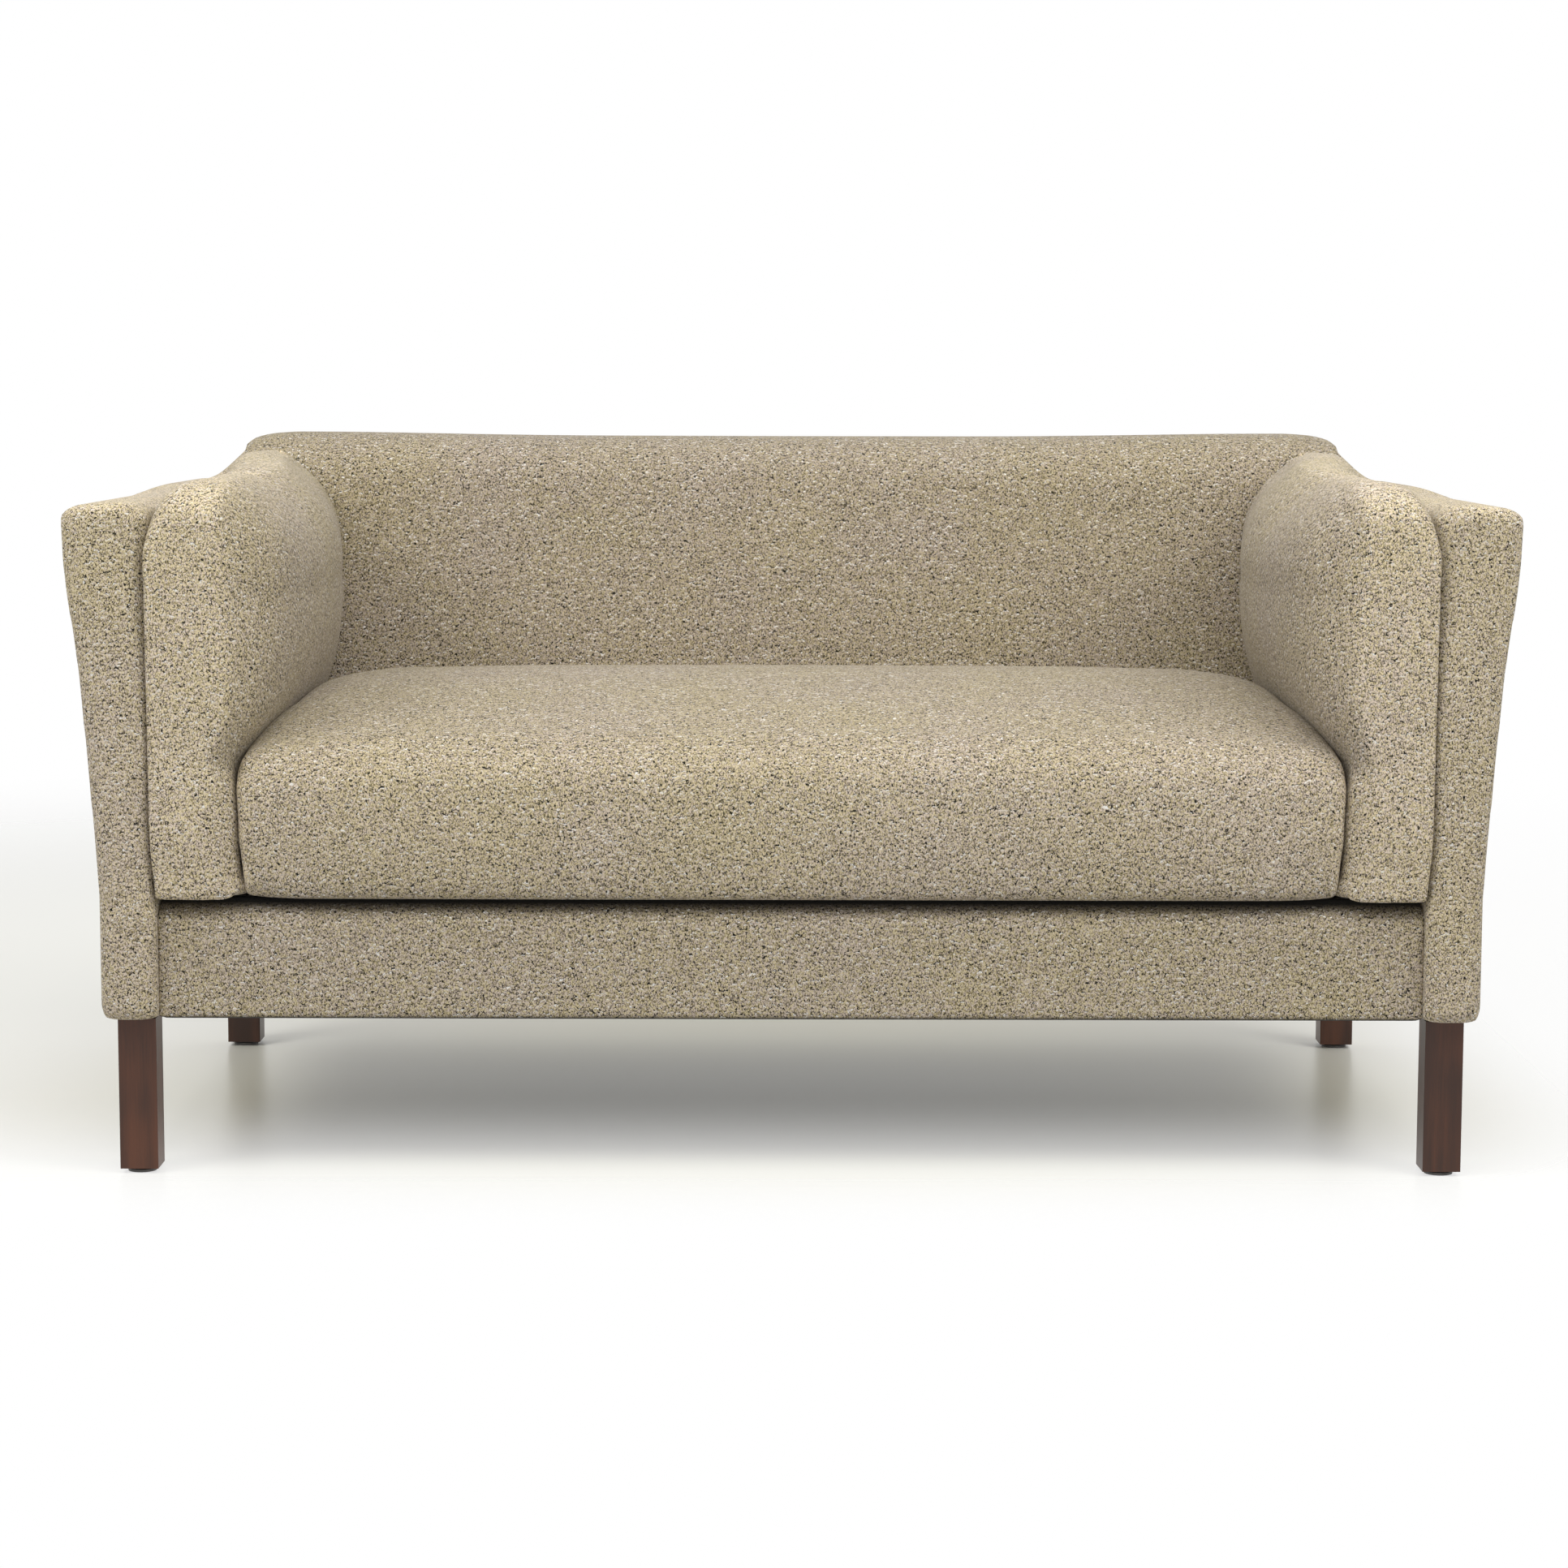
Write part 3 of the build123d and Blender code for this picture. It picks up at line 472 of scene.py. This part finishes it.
def side_panel():
    """The right panel: a padded slab, rounded, flared, its shoulder drawn up at the rear."""
    panel = add_block("side_panel_cover_right", Vector((inner_half, front, base_bottom)),
                      Vector((base_half, rear, arm_height)))
    finish_with(panel, "REMESH", mode="VOXEL", voxel_size=panel_skin)
    points = points_of(panel)
    inner = (0, inner_half, -1)
    outer = (0, base_half, 1)
    face = (1, front, -1)
    back = (1, rear, 1)
    top = (2, arm_height, 1)
    foot = (2, base_bottom, -1)
    height = points[:, 2].copy()
    depth = points[:, 1].copy()
    front_radius = 0.006 + 0.014 * ease(height, 0.27, 0.30) + 0.006 * ease(height, 0.42, 0.62)
    round_off(points, inner, face, front_radius)
    round_off(points, inner, top, 0.024 - 0.018 * ease(depth, 0.18, 0.28))
    for first, second in ((outer, face), (outer, top), (face, top), (outer, back), (back, top)):
        round_off(points, first, second, panel_edge)
    for side in (outer, face, back):
        round_off(points, side, foot, panel_foot_edge)

    # The outer side leans out above, with a soft swell near the top; the top falls a little
    # outwards in front and is drawn up to the back at the rear.
    x, y, z = points.T
    share = (x - inner_half) / (base_half - inner_half)
    lean = np.clip((z - flare_start) / (flare_top - flare_start), 0, 1.08)
    outward = (outer_half - base_half) * (0.8 * lean + 0.2 * lean * lean)
    x_flared = x + share * outward
    fall = 0.007 * share * ease(z, 0.66, arm_height) * (1 - 1.2 * ease(y, -0.10, 0.16))
    rise = shoulder_rise(x_flared, y) * ease(z, 0.640, arm_height)
    x_flared += 0.004 * share * np.exp(-((z - 0.625) / 0.055) ** 2)
    fullness = 0.003 * np.sin(np.pi * np.clip(share, 0, 1)) * (1 - ease(y, front, front + 0.03))
    move_points(panel, np.column_stack((x_flared, y - fullness, z - fall + rise)))
    finish_with(panel, "REMESH", mode="VOXEL", voxel_size=panel_skin)
    finish_with(panel, "SMOOTH", factor=0.5, iterations=4)

    # The seam along the back's edge keeps its line after the smoothing.
    points = points_of(panel)
    x, y, z = points.T
    full_height = arm_height + shoulder_rise(x, y)
    seam = (x < inner_half + 0.016) & (z > full_height - 0.016) & (y > shoulder_front) & (y < rear - 0.010)
    points[:, 2] = np.where(seam, full_height, z)
    points[:, 0] = np.where(seam & (x < inner_half + 0.008), inner_half, x)
    move_points(panel, points)
    return panel


panel_right = side_panel()
panel_left = mirror_piece(panel_right, "side_panel_cover_left")
upholster(panel_right, panel_fabric, "sofa", 0.9, "side_panel_right")
upholster(panel_left, panel_fabric, "sofa", 0.9, "side_panel_left")


# Arm pads: thick foam bolsters in wadding and chenille, pulled tight over a round nose, full
# over the seat, and gathered in soft folds where they meet the back.

def soft_copy(name, node, voxel):
    """Copy of a soft solid with its loose triangles joined and an even skin."""
    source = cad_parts[node]
    piece = bpy.data.objects.new(name, source.data.copy())
    bpy.context.scene.collection.objects.link(piece)
    pick(piece)
    bpy.ops.object.mode_set(mode="EDIT")
    bpy.ops.mesh.select_all(action="SELECT")
    bpy.ops.mesh.remove_doubles(threshold=0.00002)
    bpy.ops.mesh.normals_make_consistent(inside=False)
    bpy.ops.object.mode_set(mode="OBJECT")
    finish_with(piece, "REMESH", mode="VOXEL", voxel_size=voxel)
    return piece


def shrink(piece, depth):
    """Draws the skin in along its normals."""
    pick(piece)
    bpy.ops.object.mode_set(mode="EDIT")
    bpy.ops.mesh.select_all(action="SELECT")
    bpy.ops.transform.shrink_fatten(value=-depth)
    bpy.ops.object.mode_set(mode="OBJECT")


def fill_with_air(piece, pressure, cap, steps=20):
    """Swells the cover as cloth under pressure; each point moves no further than its cap.

    The seams hold their line, so a point is hardly drawn inwards.
    """
    start = points_of(piece)
    flat = np.empty(start.size)
    piece.data.vertices.foreach_get("normal", flat)
    outward = flat.reshape(-1, 3)
    pick(piece)
    cloth = piece.modifiers.new("filling", "CLOTH")
    cloth.settings.use_pressure = True
    cloth.settings.uniform_pressure_force = pressure
    cloth.settings.effector_weights.gravity = 0
    cloth.settings.tension_stiffness = 12
    cloth.settings.compression_stiffness = 12
    cloth.settings.bending_stiffness = 0.8
    cloth.collision_settings.use_collision = False
    cloth.point_cache.frame_start = 1
    cloth.point_cache.frame_end = steps
    for step in range(1, steps + 1):
        bpy.context.scene.frame_set(step)
    bpy.ops.object.modifier_apply(modifier=cloth.name)
    bpy.context.scene.frame_set(1)
    moved = points_of(piece) - start
    along = (moved * outward).sum(axis=1, keepdims=True)
    moved -= 0.9 * np.minimum(along, 0) * outward
    length = np.linalg.norm(moved, axis=1, keepdims=True) + 1e-9
    limit = np.asarray(cap).reshape(-1, 1)
    move_points(piece, start + moved / length * limit * np.tanh(length / limit))


def ease_round(values, low, high):
    """0 below the low value, and a quarter circle up to 1 at the high one."""
    share = np.clip((values - low) / (high - low), 0, 1)
    return 1 - np.sqrt(1 - share * share)


# Painted light and shade: the pads' fronts and tops are lighter, their inner sides darker.
pad_fabric = chenille("pad_chenille", 0.84, 1.32, 1.34)
seat_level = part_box("seat_cushion")[0].z
bulge_half = 0.5312
crown_half = 0.585
crown_height = 0.7455
nose_root = front + 0.092
nose_side = 0.620
nose_width = 0.062
nose_start = -0.335
nose_depth = 0.065
rail_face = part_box("front_rail_cover")[0].y
side_depths = [-0.400, -0.395, -0.386, -0.372, -0.353, -0.331, -0.30,
               -0.25, -0.20, -0.10, 0.0, 0.10, 0.20]
side_places = [0.552, 0.553, 0.549, 0.543, 0.537, 0.531, 0.5245,
               0.5185, 0.5145, 0.5115, 0.513, 0.523, 0.537]
toe_heights = [seat_level + step for step in (-0.01, 0.0, 0.005, 0.012, 0.025, 0.055)]
toe_reaches = [0.030, 0.030, 0.018, 0.008, 0.003, 0.0]
edge_depths = [-0.410, -0.400, -0.397, -0.393, -0.389, -0.383]
edge_spares = [0.0120, 0.0115, 0.0095, 0.0050, 0.0020, 0.0]
spare_heights = [0.29, 0.36, 0.42, 0.50, 0.60]
spare_shares = [0.25, 0.50, 0.70, 0.78, 0.95]
shoulder_levels = [0.60, 0.673, 0.6915, 0.7106, 0.735, 0.7455]
shoulder_shifts = [0.0, 0.005, 0.0075, 0.0105, 0.021, 0.028]
pad_folds = [(-0.185, 0.0050, 0.020), (-0.135, 0.0032, 0.011), (-0.100, 0.0022, 0.010)]


def arm_pad():
    """The right pad: swelled, then drawn to its round nose, full side and soft folds."""
    pad = soft_copy("arm_pad_cover_right", "arm_pad_right", 0.006)
    shrink(pad, 0.001)
    fill_with_air(pad, 4.0, 0.0025)
    points = points_of(pad)
    x, y, z = points.T

    # Nose: its tip leans outwards, and low down its inner edge is squarer.
    tip = ease_round(nose_root - y, 0, nose_root - front - 0.002)
    low = 1 - ease(z, seat_level + 0.05, seat_level + 0.16)
    outer = ease(x, crown_half, inner_half - 0.012)
    inner = 1 - ease(x, 0.560, 0.625)
    foot = 1 - ease(z, seat_level + 0.010, seat_level + 0.060)
    x_new = x + tip * outer * (0.026 - 0.011 * foot)
    along = np.clip((nose_side - x) / nose_width, 0, None)
    ahead = np.clip((nose_start - y) / nose_depth, 0, None)
    squarer = np.hypot(along, ahead) / np.maximum((along ** 6 + ahead ** 6) ** (1 / 6), 1e-6)
    squarer = np.where((along > 0) & (ahead > 0), squarer - 1, 0.0) * (1 - ease(z, 0.40, 0.46))
    x_new -= nose_width * along * squarer

    # Side over the seat: full in the middle of its depth, close to the cushion below, and
    # drawn out to a toe at its foot.
    belly = ease(z, seat_level + 0.12, 0.600) * (1 - 0.5 * ease(z, 0.620, 0.735))
    x_new += belly * inner * (np.interp(y, side_depths, side_places) - bulge_half)
    x_new -= low * inner * tip * 0.022
    flank = (1 - ease(z, 0.44, 0.49)) * ease(z, seat_level + 0.01, seat_level + 0.03)
    x_new += flank * inner * 0.006 * (1 - ease(y, -0.26, -0.12))
    x_new -= np.interp(z, toe_heights, toe_reaches) * (1 - ease(x, 0.575, 0.612))

    # Top: higher at the outer edge of the nose, and a round shoulder where it meets the back.
    z_new = z.copy()
    z_new += 0.013 * ease(-y, 0.30, 0.375) * ease(x_new, 0.590, 0.645) * ease(z, 0.620, 0.690)
    rear_share = ease(y, -0.05, 0.17)
    beyond = np.clip((x - crown_half) / (inner_half - crown_half), 0, 1)
    shift = np.interp(z, shoulder_levels, shoulder_shifts)
    x_new += rear_share * np.where(beyond > 0, shift * (1 - beyond), shift * inner)
    rounded = crown_height - 0.026 * ease_round(x_new, inner_half - 0.026, inner_half)
    z_new += rear_share * ease(beyond, 0, 0.2) * ease(z, 0.62, 0.70) * np.maximum(rounded - z, 0)

    # Folds: three soft furrows run slantwise over the top behind the nose.
    crest = ease(x, 0.545, 0.600)
    fold = np.zeros_like(z)
    for place, depth, width in pad_folds:
        line = y - place - 0.25 * (0.735 - z) - 0.12 * (0.60 - x)
        fold += depth * np.exp(-(line / width) ** 2)
    z_new += ease(z, 0.655, 0.725) * (0.002 * tip - fold * (0.4 + 0.6 * crest))
    x_new += ease(z, 0.62, 0.69) * inner * fold * 0.8

    # Foot: it hangs a little over the rail. Beside the panel's round edge the face is wider.
    y_new = y - 0.006 * tip * ease(z, seat_level, seat_level + 0.08) - nose_depth * ahead * squarer
    sag = ease(rail_face - y_new, 0.0, 0.008) * (0.008 + 0.007 * ease(nose_side - x, 0.0, 0.050))
    z_new -= foot * sag
    spare = np.interp(y_new, edge_depths, edge_spares) * np.interp(z, spare_heights, spare_shares)
    x_new = np.minimum(x_new, inner_half - 0.0005 + spare)
    move_points(pad, np.column_stack((x_new, y_new, z_new)))
    finish_with(pad, "SMOOTH", factor=0.5, iterations=2)
    finish_with(pad, "SUBSURF", levels=1, render_levels=1)
    return pad


pad_right = arm_pad()
pad_left = mirror_piece(pad_right, "arm_pad_cover_left")
upholster(pad_right, pad_fabric, "sofa", 0.8, "arm_pad_right")
upholster(pad_left, pad_fabric, "sofa", 0.8, "arm_pad_left")


# Front rail cover: a strip of wadding and chenille pulled over the front rail and stapled
# under it, set back between the side panels. Its top edge is a soft roll under the cushion.

# Painted shadow: the rail cover's faces that look up, on its roll under the cushion, are near black, for
# the cushion's shadow.
rail_fabric = chenille("rail_chenille", 1.03, 1.03, -0.20)
rail_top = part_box("front_rail_cover")[1].z
rail_roll = 0.027


def rail_dress():
    """The rail's cover, its upper front edge brought out to one even round."""
    dress_strip = soft_copy("front_rail_dress", "front_rail_cover", 0.004)
    points = points_of(dress_strip)
    round_off(points, (1, rail_face, -1), (2, rail_top, 1), rail_roll)
    inward = rail_roll - (points[:, 1] - rail_face)
    upward = rail_roll - (rail_top - points[:, 2])
    rolled = (inward > 0) & (upward > 0) & (np.abs(points[:, 0]) < inner_half - 0.002)
    reach = np.maximum(np.hypot(inward, upward), 0.5 * rail_roll)
    outward = np.where(rolled, rail_roll / reach - 1, 0.0)
    points[:, 1] -= outward * inward
    points[:, 2] += outward * upward
    move_points(dress_strip, points)
    finish_with(dress_strip, "SMOOTH", factor=0.5, iterations=2)
    return dress_strip


upholster(rail_dress(), rail_fabric, "sofa", 0.95, "front_rail_cover")


# Inner back: one tight padded panel over the webbing, leaning back, rolled over the top rail.
# Outside back: a flat lined panel, stitched blind along its edges.

# Painted shade: the inner back is darker all over, most on its front and top faces.
back_fabric = chenille("back_chenille", 0.95, 0.86, 0.84)


def inner_back():
    """The inner back, pressed against the panels at its ends and a little fuller above."""
    cover = soft_copy("back_pad_cover", "back_pad", 0.007)
    points = points_of(cover)
    toward_end = np.sign(points[:, 0]) * ease(np.abs(points[:, 0]), 0.610, 0.655)
    points[:, 0] += 0.0055 * toward_end
    points[:, 2] += 0.0025 * ease(np.abs(points[:, 0]), 0.25, 0.60) * ease(points[:, 2], 0.66, 0.74)
    move_points(cover, points)
    finish_with(cover, "SMOOTH", factor=0.5, iterations=2)
    return cover


upholster(inner_back(), back_fabric, "sofa", 0.9, "back_pad")
outside_cover = soft_copy("outside_back_cover", "outside_back", 0.007)
finish_with(outside_cover, "SMOOTH", factor=0.5, iterations=3)
# The outside back takes the panels' fabric, with its painted light on the tops and fronts.
upholster(outside_cover, panel_fabric, "sofa", 0.95, "outside_back")


# Seat cushion: a loose bench cushion of foam wrapped in wadding, crowned on top, round in
# front, its sides drawn in against the arm pads.

# Painted light: the cushion's sides and front are lighter and its top a little darker.
cushion_fabric = chenille("cushion_chenille", 1.50, 1.13, 0.92)
corner_half = 0.518
corner_depth = -0.342
corner_radius = 0.055
edge_levels = [seat_level, seat_level + 0.007, seat_level + 0.015, seat_level + 0.03, seat_level + 0.05]
edge_reaches = [0.028, 0.012, 0.005, 0.002, 0.0]


def seat_cushion():
    """The loose cushion: flat below, swelled above, full to its front corners."""
    cushion = soft_copy("seat_cushion_cover", "seat_cushion", 0.008)
    shrink(cushion, 0.001)
    free = ease(points_of(cushion)[:, 2] - seat_level, 0.0, 0.05)
    fill_with_air(cushion, 4.0, 0.0015 + 0.0015 * free)
    points = points_of(cushion)
    x, y, z = points.T

    # Front corners, squarer in plan.
    way = np.sign(x)
    half = np.abs(x)
    across = np.clip((half - corner_half) / corner_radius, 0, None)
    forward = np.clip((corner_depth - y) / corner_radius, 0, None)
    squarer = np.hypot(across, forward) / np.maximum((across ** 5 + forward ** 5) ** 0.2, 1e-6)
    squarer = np.where((across > 0) & (forward > 0), squarer, 1.0)
    half_new = half + corner_radius * across * (squarer - 1)
    y_new = y - corner_radius * forward * (squarer - 1)

    # Sides pressed against the arm pads, lower edge drawn under, shoulders and top full.
    middle = ease(z, seat_level + 0.02, seat_level + 0.07)
    toward_front = 1 - ease(y, -0.28, -0.12)
    side = ease(half, 0.50, 0.565) * toward_front
    half_new += side * (0.0050 * middle + 0.0030 * ease(z, 0.375, 0.41) + 0.0060 * ease(z, 0.41, 0.44))
    half_new += np.interp(z, edge_levels, edge_reaches) * ease(half, 0.46, 0.526) * toward_front
    shoulder = np.exp(-((half - 0.550) / 0.033) ** 2) * ease(z, 0.420, 0.440)
    z_new = z + shoulder * (0.003 * (1 - ease(y, 0.0, 0.12)) + 0.003 * toward_front)
    z_new += 0.0035 * ease(z, 0.44, 0.48)
    z_new = np.maximum(z_new, seat_level)
    move_points(cushion, np.column_stack((way * half_new, y_new, z_new)))
    finish_with(cushion, "SMOOTH", factor=0.5, iterations=1)
    finish_with(cushion, "SUBSURF", levels=1, render_levels=1)
    return cushion


cushion_cover = seat_cushion()
upholster(cushion_cover, cushion_fabric, "cushion", 0.85, "seat_cushion")


# Floor: a pale sheet that keeps the sofa's shadow and a faint reflection of its legs, and
# fades into the white ground round it.

def pale_floor():
    """White floor with a slight gloss, see-through far from the sofa and soon in front of it."""
    finish = Finish("pale_floor")
    reach = finish.place.vector("LENGTH", take=1)
    far = reach.between(1.3, 3.8)
    sideways = finish.place.node("ShaderNodeSeparateXYZ", {0: finish.place})
    ahead = (0.0 - sideways.other(1)).between(-0.05, 0.64)
    beside = sideways.between(0.66, 0.98)
    kept = (1.0 - far) * (1.0 - ahead) * (1.0 - beside * 0.85)
    gloss = finish.place.noise(60.0, 2.0)
    # Painted bounce light: the floor is yellower under the sofa, within a metre of its middle, as if lit
    # by light off the fabric.
    ground = reach.between(0.35, 1.0).tint(paint(0.93, 0.90, 0.70), paint(0.93, 0.925, 0.865))
    finish.set(Base_Color=ground, Roughness=0.28 + 0.05 * gloss, Alpha=kept)
    finish.shader.inputs["Specular IOR Level"].default_value = 0.35
    return finish


floor_reach = 8.0
bpy.ops.object.select_all(action="DESELECT")
bpy.ops.mesh.primitive_plane_add(size=floor_reach, location=(0, 0, 0))
floor = bpy.context.object
floor.name = "floor"
pale_floor().cover(floor)


# Light: a white surround that is plain grey to the object, a broad soft lamp above and in
# front, and a weaker one on each side.

ambient = 0.52


def white_surround():
    """White to the eye and in reflections, and a plain grey light to everything else."""
    world = bpy.data.worlds.new("surround")
    bpy.context.scene.world = world
    world.use_nodes = True
    tree = world.node_tree
    seen = Signal(tree, None).node("ShaderNodeLightPath", {}).output.node
    looks = Signal(tree, seen.outputs["Is Camera Ray"]) + Signal(tree, seen.outputs["Is Glossy Ray"])
    looks = looks + Signal(tree, seen.outputs["Is Transmission Ray"])
    strength = ambient + (1.0 - ambient) * looks.math("MINIMUM", looks, 1.0)
    ground = tree.nodes["Background"]
    ground.inputs["Color"].default_value = paint(1.0, 1.0, 1.0)
    tree.links.new(strength.output, ground.inputs["Strength"])


def soft_lamp(name, place, aim, width, height, power):
    """Rectangular studio lamp that points at a spot."""
    data = bpy.data.lights.new(name, "AREA")
    data.shape = "RECTANGLE"
    data.size = width
    data.size_y = height
    data.energy = power
    lamp = bpy.data.objects.new(name, data)
    bpy.context.scene.collection.objects.link(lamp)
    lamp.location = place
    lamp.rotation_euler = (Vector(aim) - Vector(place)).to_track_quat("-Z", "Y").to_euler()


white_surround()
sofa_middle = (0, 0, 0.4)
soft_lamp("lamp_above", (0.2, -1.4, 3.2), sofa_middle, 3.0, 2.0, 50)
soft_lamp("lamp_left", (-2.4, -1.5, 2.6), sofa_middle, 1.4, 1.4, 38)
soft_lamp("lamp_right", (2.4, -1.5, 2.6), sofa_middle, 1.4, 1.4, 35)


# Camera: four metres in front of the sofa, a little above its back, tipped slightly down.

camera_data = bpy.data.cameras.new("camera")
camera_data.lens = 81.16
camera_data.sensor_width = 36.0
camera = bpy.data.objects.new("camera", camera_data)
bpy.context.scene.collection.objects.link(camera)
camera.location = (-0.0040, -4.0278, 0.8268)
camera_pitch = 90 - 6.465
camera_roll = 0.131
camera_turn = 0.056
look = Euler((radians(camera_pitch), 0, radians(camera_turn))).to_quaternion()
look = look @ Quaternion((0, 0, 1), radians(camera_roll))
camera.rotation_euler = look.to_euler()
bpy.context.scene.camera = camera
bpy.context.scene.view_settings.view_transform = "Standard"
